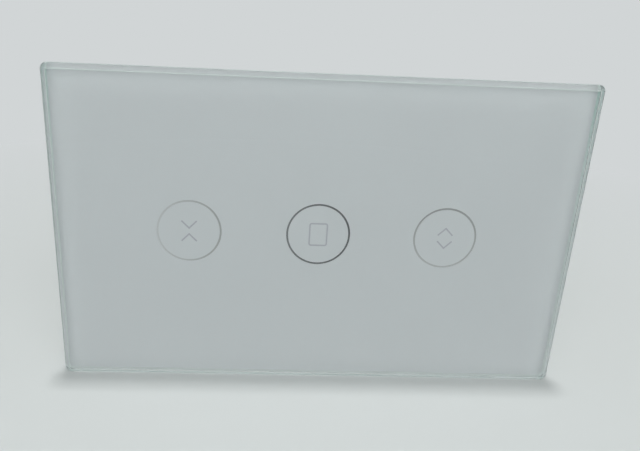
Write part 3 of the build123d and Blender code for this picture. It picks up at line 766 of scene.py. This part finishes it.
class SWITCH_OT_print(bpy.types.Operator):
    """Adds the print behind the glass, with a clear ring and a symbol for each key"""

    bl_idname = "switch.print"
    bl_label = "Back Print"

    def execute(self, context):
        settings = context.scene.switch_print
        low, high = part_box("ink_mask")
        self.enamel(settings, -low.y + settings.sink, -high.y)
        # The symbols lie just in front of the print, from 1.2 to 2.5 times as far in the glass
        symbol_back, symbol_front = (-low.y + depth * settings.sink for depth in (1.2, 2.5))
        self.symbols(settings, symbol_front, symbol_back)
        return {"FINISHED"}

    def enamel(self, settings, front, back):
        """The pale print: its outline and three ring windows, filled and given its thickness."""
        corner_radius = 1.1 * MM
        ring_steps = 96
        weld = 0.001 * MM
        low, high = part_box("glass_panel")
        width = high.x - low.x - 2 * settings.margin
        height = high.z - low.z - 2 * settings.margin
        curve = bpy.data.curves.new("back_print", "CURVE")
        curve.dimensions = "2D"
        curve.fill_mode = "BOTH"
        curve.extrude = (front - back) / 2
        outlines = [rounded_loop(width, height, corner_radius, 0.0)]
        for middle in key_places(settings.key_pitch):
            for radius in (settings.ring_diameter / 2, settings.ring_diameter / 2 - settings.ring_line):
                outlines.append(circle(middle, radius, 0.0, ring_steps))
        for outline in outlines:
            spline = curve.splines.new("POLY")
            spline.points.add(len(outline) - 1)
            for point, place in zip(spline.points, outline):
                point.co = (place.x, place.z, 0, 1)
            spline.use_cyclic_u = True
        flat = bpy.data.objects.new("back_print_outline", curve)
        data = bpy.data.meshes.new_from_object(flat)
        bpy.data.objects.remove(flat)
        data.transform(Matrix.Translation((0, -(front + back) / 2, 0)) @ Matrix.Rotation(math.pi / 2, 4, "X"))
        mesh = bmesh.new()
        mesh.from_mesh(data)
        bpy.data.meshes.remove(data)
        bmesh.ops.remove_doubles(mesh, verts=mesh.verts, dist=weld)
        add_piece("back_print", mesh, [print_enamel(settings)], "front_panel", ["ink_mask"])

    def symbols(self, settings, front, back):
        """The close, stop and open symbols, printed in grey."""
        line = settings.symbol_line
        half = settings.chevron_width / 2
        inner = settings.chevron_gap / 2
        outer = inner + settings.chevron_height
        places = dict(zip(KEYS, key_places(settings.key_pitch)))
        for key, tip, tail in (("close", inner, outer), ("open", outer, inner)):
            x, z = places[key]
            mesh = bmesh.new()
            for side in (1, -1):
                points = [(x - half, z + side * tail), (x, z + side * tip), (x + half, z + side * tail)]
                ribbon(mesh, points, line, front, back)
            add_piece(f"symbol_{key}", mesh, [symbol_ink(settings)], "front_panel")
        mesh = bmesh.new()
        loops = []
        for inset, level in ((0.0, back), (0.0, front), (line, front), (line, back)):
            width = settings.stop_width - 2 * inset
            height = settings.stop_height - 2 * inset
            radius = settings.stop_radius - inset
            loops.append(rounded_loop(width, height, radius, level, places["stop"], segments=6))
        skin(mesh, loops, ring=True)
        add_piece("symbol_stop", mesh, [symbol_ink(settings)], "front_panel")


class SWITCH_OT_carrier(bpy.types.Operator):
    """Finishes the carrier, its tape, the light guides, the key springs and the lights"""

    bl_idname = "switch.carrier"
    bl_label = "Carrier and Keys"

    def execute(self, context):
        dress(white_abs(), "carrier_frame")
        dress(foam_tape(), "glass_tape")
        for key in KEYS:
            dress(smoked_guide(key), f"light_guide_{key}")
            dress(nickel_wire(), f"touch_spring_{key}")
        dress(light_emitter(), "key_lights")
        return {"FINISHED"}


class SWITCH_OT_touch_board(bpy.types.Operator):
    """Finishes the touch board and adds its tracks, chips, solder joints and antenna"""

    bl_idname = "switch.touch_board"
    bl_label = "Touch Board"

    def execute(self, context):
        dress(solder_mask(), "touch_board")
        dress(zinc_plate(), "touch_board_screws")
        dress(black_epoxy(), "touch_chip")
        dress(module_mask(), "radio_board")
        dress(tinned_steel(), "radio_shield")
        dress(black_nylon(), "header_base")
        dress(gold_contact(), "header_pins")
        keys = key_places(context.scene.switch_print.key_pitch)
        rear = -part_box("touch_board")[1].y
        self.tracks(keys, rear)
        self.small_parts(rear)
        self.joints(keys, rear)
        self.antenna()
        return {"FINISHED"}

    def tracks(self, keys, rear):
        """Copper tracks from the touch chip to the keys and from the header to the radio."""
        width = 0.35 * MM
        copper = 0.03 * MM
        chip_pin_pitch = 1.27 * MM
        header_pin_pitch = 2.54 * MM
        chip_lane = 1.1 * MM
        header_lane = 1.0 * MM
        beside_key = 2.2 * MM
        radio_start = 5.0 * MM
        radio_pitch = 2.0 * MM
        supply_length = 16 * MM
        header_pins = 6
        supply_lanes = 3
        chip_low, chip_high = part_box("touch_chip")
        header_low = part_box("header_base")[0]
        radio_low, radio_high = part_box("radio_board")
        tracks = []
        for lane, (x, z) in enumerate(keys):
            start = chip_low.x + (lane + 1) * chip_pin_pitch
            level = chip_low.z - (lane + 1.5) * chip_lane
            turn = x if x > chip_high.x else x + beside_key
            way = [(start, chip_low.z), (start, level), (turn, level), (turn, z)]
            tracks.append(way if turn == x else way + [(x, z)])
        for lane in range(header_pins):
            x = header_low.x + (lane + 0.5) * header_pin_pitch
            level = radio_high.z + (lane + 2) * header_lane
            end = radio_low.x + radio_start + lane * radio_pitch
            tracks.append([(x, header_low.z), (x, level), (end, level), (end, radio_high.z)])
        for lane in range(supply_lanes):
            x = chip_low.x + (lane + 2) * chip_pin_pitch
            level = chip_high.z + (lane + 1.5) * chip_lane
            tracks.append([(x, chip_high.z), (x, level), (chip_high.x + supply_length, level)])
        mesh = bmesh.new()
        for track in tracks:
            ribbon(mesh, track, width, rear, rear - copper)
        add_piece("board_tracks", mesh, [masked_copper()], "front_panel")

    def small_parts(self, rear):
        """Chip resistors and capacitors in short rows, each with two soldered ends."""
        # Each row in millimetres: x and z of its first chip, how many chips, and the step in x and z
        rows = (
            (24.0, -4.0, 4, 0.0, 2.0),
            (24.0, -12.0, 4, 0.0, 2.0),
            (8.0, -20.0, 5, 2.2, 0.0),
            (34.0, 9.0, 3, 2.2, 0.0),
            (-38.0, 9.0, 3, 2.2, 0.0),
            (-3.0, 20.0, 4, 2.2, 0.0),
            (-24.0, -20.0, 5, 2.2, 0.0),
            (12.0, 12.0, 2, 2.2, 0.0),
        )
        length = 1.6 * MM
        width = 0.8 * MM
        height = 0.5 * MM
        end = 0.3 * MM
        proud = 0.03 * MM
        end_length = end + 2 * proud
        end_width = width + 2 * proud
        body_mesh = bmesh.new()
        end_mesh = bmesh.new()
        for first_x, first_z, count, step_x, step_z in rows:
            along_x = step_x == 0.0
            body_size = (length, width) if along_x else (width, length)
            end_size = (end_length, end_width) if along_x else (end_width, end_length)
            for i in range(count):
                x = (first_x + i * step_x) * MM
                z = (first_z + i * step_z) * MM
                pad(body_mesh, (x, z), body_size, -rear, -rear + height)
                for side in (-1, 1):
                    shift = side * (length - end) / 2
                    middle = (x + shift, z) if along_x else (x, z + shift)
                    pad(end_mesh, middle, end_size, -rear, -rear + height + proud)
        bodies = add_piece("chip_bodies", body_mesh, [chip_ceramic()], "front_panel")
        ends = add_piece("chip_ends", end_mesh, [solder()], "front_panel")
        soften(bodies, width=0.06 * MM)
        soften(ends, width=0.08 * MM)

    def joints(self, keys, rear):
        """Solder joints of the key springs, and the soldered half-holes along the radio module."""
        count = 8
        pitch = 1.6 * MM
        size = (0.8 * MM, 0.9 * MM)
        past_middle = 3 * MM
        sunk = 0.02 * MM
        proud = 0.05 * MM
        mesh = bmesh.new()
        for middle in keys:
            dome(mesh, middle, radius=0.9 * MM, height=0.5 * MM, level=-rear)
        low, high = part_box("radio_board")
        start = (low.x + high.x) / 2 - (count - 1) / 2 * pitch + past_middle
        for edge in (low.z, high.z):
            for i in range(count):
                pad(mesh, (start + i * pitch, edge), size, low.y + sunk, high.y + proud)
        joints = add_piece("solder_joints", mesh, [solder()], "front_panel")
        soften(joints, width=0.12 * MM)

    def antenna(self):
        """The radio module's antenna, a gold track that winds to and fro on its free end."""
        width = 0.5 * MM
        copper = 0.03 * MM
        end_margin = 0.9 * MM
        side_margin = 1.2 * MM
        shield_gap = 1.2 * MM
        turns = 6
        low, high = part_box("radio_board")
        left = low.x + end_margin
        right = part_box("radio_shield")[0].x - shield_gap
        step = (high.z - low.z - 2 * side_margin) / turns
        z = low.z + side_margin
        points = [(right, z)]
        for turn in range(turns):
            side = left if turn % 2 == 0 else right
            points.append((side, z))
            z += step
            points.append((side, z))
        mesh = bmesh.new()
        ribbon(mesh, points, width, -high.y, -high.y - copper)
        add_piece("radio_antenna", mesh, [gold_contact()], "front_panel")


class SWITCH_OT_base(bpy.types.Operator):
    """Finishes the base frame, the rear housing and its screws"""

    bl_idname = "switch.base"
    bl_label = "Base and Housing"

    def execute(self, context):
        dress(base_polycarbonate(), "base_frame", "rear_housing")
        dress(zinc_plate(), "housing_screws")
        return {"FINISHED"}


class SWITCH_OT_power_board(bpy.types.Operator):
    """Finishes the power board and the parts that stand on it"""

    bl_idname = "switch.power_board"
    bl_label = "Power Board"

    def execute(self, context):
        dress(solder_mask(), "power_board")
        dress(black_nylon(), "header_socket")
        dress(relay_cover(), "relay_close", "relay_open")
        dress(sintered_ferrite(), "transformer_core")
        dress(winding_tape(), "transformer_coil")
        dress(shrink_sleeve(), "mains_capacitor", "supply_capacitor")
        dress(capacitor_box(), "film_capacitor")
        dress(dipped_epoxy(), "varistor")
        dress(fuse_case(), "fuse")
        return {"FINISHED"}


class SWITCH_OT_terminals(bpy.types.Operator):
    """Finishes the terminal block, its screws, cages and contact bars"""

    bl_idname = "switch.terminals"
    bl_label = "Terminals"

    def execute(self, context):
        dress(terminal_nylon(), "terminal_block")
        for wire in WIRES:
            dress(zinc_plate(), f"terminal_screw_{wire}")
            dress(plated_cage(), f"terminal_cage_{wire}")
            dress(tinned_brass(), f"contact_bar_{wire}")
        return {"FINISHED"}


class SWITCH_OT_stage(bpy.types.Operator):
    """Adds the table, the light and the camera"""

    bl_idname = "switch.stage"
    bl_label = "Stage"

    def execute(self, context):
        settings = context.scene.switch_stage
        self.table(context, settings)
        self.room(context, settings)
        self.lamps(context)
        self.camera(context, settings)
        context.scene.view_settings.view_transform = "Standard"
        return {"FINISHED"}

    def seen(self, tree, direct, mirrored):
        """How much of the pale room is seen: one share directly, the other in gloss and through glass."""
        path = add_node(tree, "ShaderNodeLightPath")
        bent = add_node(
            tree,
            "ShaderNodeMath",
            {0: path.outputs["Is Glossy Ray"], 1: path.outputs["Is Transmission Ray"]},
            operation="MAXIMUM",
        )
        shares = [
            add_node(tree, "ShaderNodeMath", {0: ray, 1: share}, operation="MULTIPLY").outputs[0]
            for ray, share in ((path.outputs["Is Camera Ray"], direct), (bent.outputs[0], mirrored))
        ]
        return add_node(tree, "ShaderNodeMath", {0: shares[0], 1: shares[1]}, operation="MAXIMUM").outputs[0]

    def painted_table(self, settings):
        """Painted table top, satin: it takes the shadow, and further off it shows the backdrop's colour."""
        # Distances from the switch in metres, and how much of the backdrop's colour shows up close
        shade_end = 0.1
        backdrop_start = 0.35
        near_direct = 0.0
        near_mirrored = 0.75
        material, tree = new_material("painted_table")
        place = add_node(tree, "ShaderNodeTexCoord")
        tone = cloudy_colour(tree, place, patch=300, colour=settings.table, shade=linear("#CCD0CF"))
        shader = add_node(
            tree, "ShaderNodeBsdfPrincipled", {"Base Color": tone, "Roughness": 0.55, "IOR": 1.45}
        )
        away = add_node(tree, "ShaderNodeVectorMath", {0: place.outputs["Object"]}, operation="LENGTH")
        reach = {"Value": away.outputs["Value"], "From Min": shade_end, "From Max": backdrop_start}
        direct, mirrored = (
            add_node(tree, "ShaderNodeMapRange", {**reach, "To Min": near}).outputs["Result"]
            for near in (near_direct, near_mirrored)
        )
        glow = add_node(tree, "ShaderNodeEmission", {"Color": settings.backdrop, "Strength": 1.0})
        blend = add_node(
            tree,
            "ShaderNodeMixShader",
            {0: self.seen(tree, direct, mirrored), 1: shader.outputs["BSDF"], 2: glow.outputs["Emission"]},
        )
        add_node(tree, "ShaderNodeOutputMaterial", {"Surface": blend.outputs["Shader"]})
        return material

    def table(self, context, settings):
        """A pale table that turns up into a backdrop far behind."""
        steps = 16
        floor = cad_box[0].z
        half = settings.table_size / 2
        bend = settings.bend_radius
        profile = [(-half, floor), (half - bend, floor)]
        for step in range(1, steps + 1):
            angle = math.pi / 2 * step / steps
            profile.append((half - bend + bend * math.sin(angle), floor + bend - bend * math.cos(angle)))
        profile.append((half, floor + settings.backdrop_height))
        mesh = bmesh.new()
        rows = [[mesh.verts.new((x, y, z)) for x in (-half, half)] for y, z in profile]
        for here, there in zip(rows, rows[1:]):
            mesh.faces.new((here[0], here[1], there[1], there[0]))
        data = bpy.data.meshes.new("table")
        mesh.to_mesh(data)
        mesh.free()
        data.materials.append(self.painted_table(settings))
        for face in data.polygons:
            face.use_smooth = True
        table = bpy.data.objects.new("table", data)
        context.scene.collection.objects.link(table)

    def room(self, context, settings):
        """Even light from all round, and the backdrop's colour wherever the room itself is seen."""
        world = bpy.data.worlds.new("pale_room")
        world.use_nodes = True
        tree = world.node_tree
        tree.nodes.clear()
        light = add_node(
            tree, "ShaderNodeBackground", {"Color": settings.room, "Strength": settings.room_light}
        )
        shown = add_node(tree, "ShaderNodeBackground", {"Color": settings.backdrop, "Strength": 1.0})
        blend = add_node(
            tree,
            "ShaderNodeMixShader",
            {0: self.seen(tree, 1.0, 1.0), 1: light.outputs["Background"], 2: shown.outputs["Background"]},
        )
        add_node(tree, "ShaderNodeOutputWorld", {"Surface": blend.outputs["Shader"]})
        context.scene.world = world

    def lamps(self, context):
        """One wide soft lamp high in front, and a small one far overhead that gives the short shadow."""
        origin = Vector((0, 0, 0))
        for name, place, width, height, power in LAMPS:
            data = bpy.data.lights.new(name, "AREA")
            data.shape = "RECTANGLE"
            data.size = width
            data.size_y = height
            data.energy = power
            lamp = bpy.data.objects.new(name, data)
            lamp.location = place
            lamp.rotation_euler = (origin - Vector(place)).to_track_quat("-Z", "Y").to_euler()
            context.scene.collection.objects.link(lamp)

    def camera(self, context, settings):
        """The photograph's viewpoint, worked out from the outline of the glass and the three rings."""
        azimuth, elevation, roll = settings.azimuth, settings.elevation, settings.roll
        back = Vector(
            (
                math.sin(azimuth) * math.cos(elevation),
                -math.cos(azimuth) * math.cos(elevation),
                math.sin(elevation),
            )
        )
        right = Vector((math.cos(azimuth), math.sin(azimuth), 0))
        up = back.cross(right)
        image_right = right * math.cos(roll) + up * math.sin(roll)
        image_up = up * math.cos(roll) - right * math.sin(roll)
        data = bpy.data.cameras.new("camera")
        data.lens = settings.focal_length
        data.sensor_fit = "HORIZONTAL"
        data.sensor_width = 36
        data.shift_x, data.shift_y = settings.shift
        data.clip_start = 0.01
        data.clip_end = 20
        camera = bpy.data.objects.new("camera", data)
        place = Vector(settings.target) + back * settings.distance
        axes = Matrix((image_right, image_up, back)).transposed().to_4x4()
        camera.matrix_world = Matrix.Translation(place) @ axes
        context.scene.collection.objects.link(camera)
        context.scene.camera = camera


OPERATORS = (
    SWITCH_OT_glass,
    SWITCH_OT_print,
    SWITCH_OT_carrier,
    SWITCH_OT_touch_board,
    SWITCH_OT_base,
    SWITCH_OT_power_board,
    SWITCH_OT_terminals,
    SWITCH_OT_stage,
)


class SWITCH_PT_panel(bpy.types.Panel):
    """Lists the switch's pieces"""

    bl_idname = "SWITCH_PT_panel"
    bl_label = "Curtain Switch"
    bl_space_type = "VIEW_3D"
    bl_region_type = "UI"
    bl_category = "Curtain Switch"

    def draw(self, context):
        for operator in OPERATORS:
            self.layout.operator(operator.bl_idname)


SETTINGS = {"switch_glass": GlassSettings, "switch_print": PrintSettings, "switch_stage": StageSettings}
CLASSES = (*SETTINGS.values(), *OPERATORS, SWITCH_PT_panel)


def register():
    """Registers the classes and puts the settings on the scene."""
    for item in CLASSES:
        bpy.utils.register_class(item)
    for name, group in SETTINGS.items():
        setattr(bpy.types.Scene, name, bpy.props.PointerProperty(type=group))


def unregister():
    """Takes the settings and the classes away again."""
    for name in SETTINGS:
        delattr(bpy.types.Scene, name)
    for item in reversed(CLASSES):
        bpy.utils.unregister_class(item)


def main():
    """Makes every piece in order."""
    register()
    for operator in OPERATORS:
        group, name = operator.bl_idname.split(".")
        getattr(getattr(bpy.ops, group), name)()


if __name__ == "__main__":
    main()
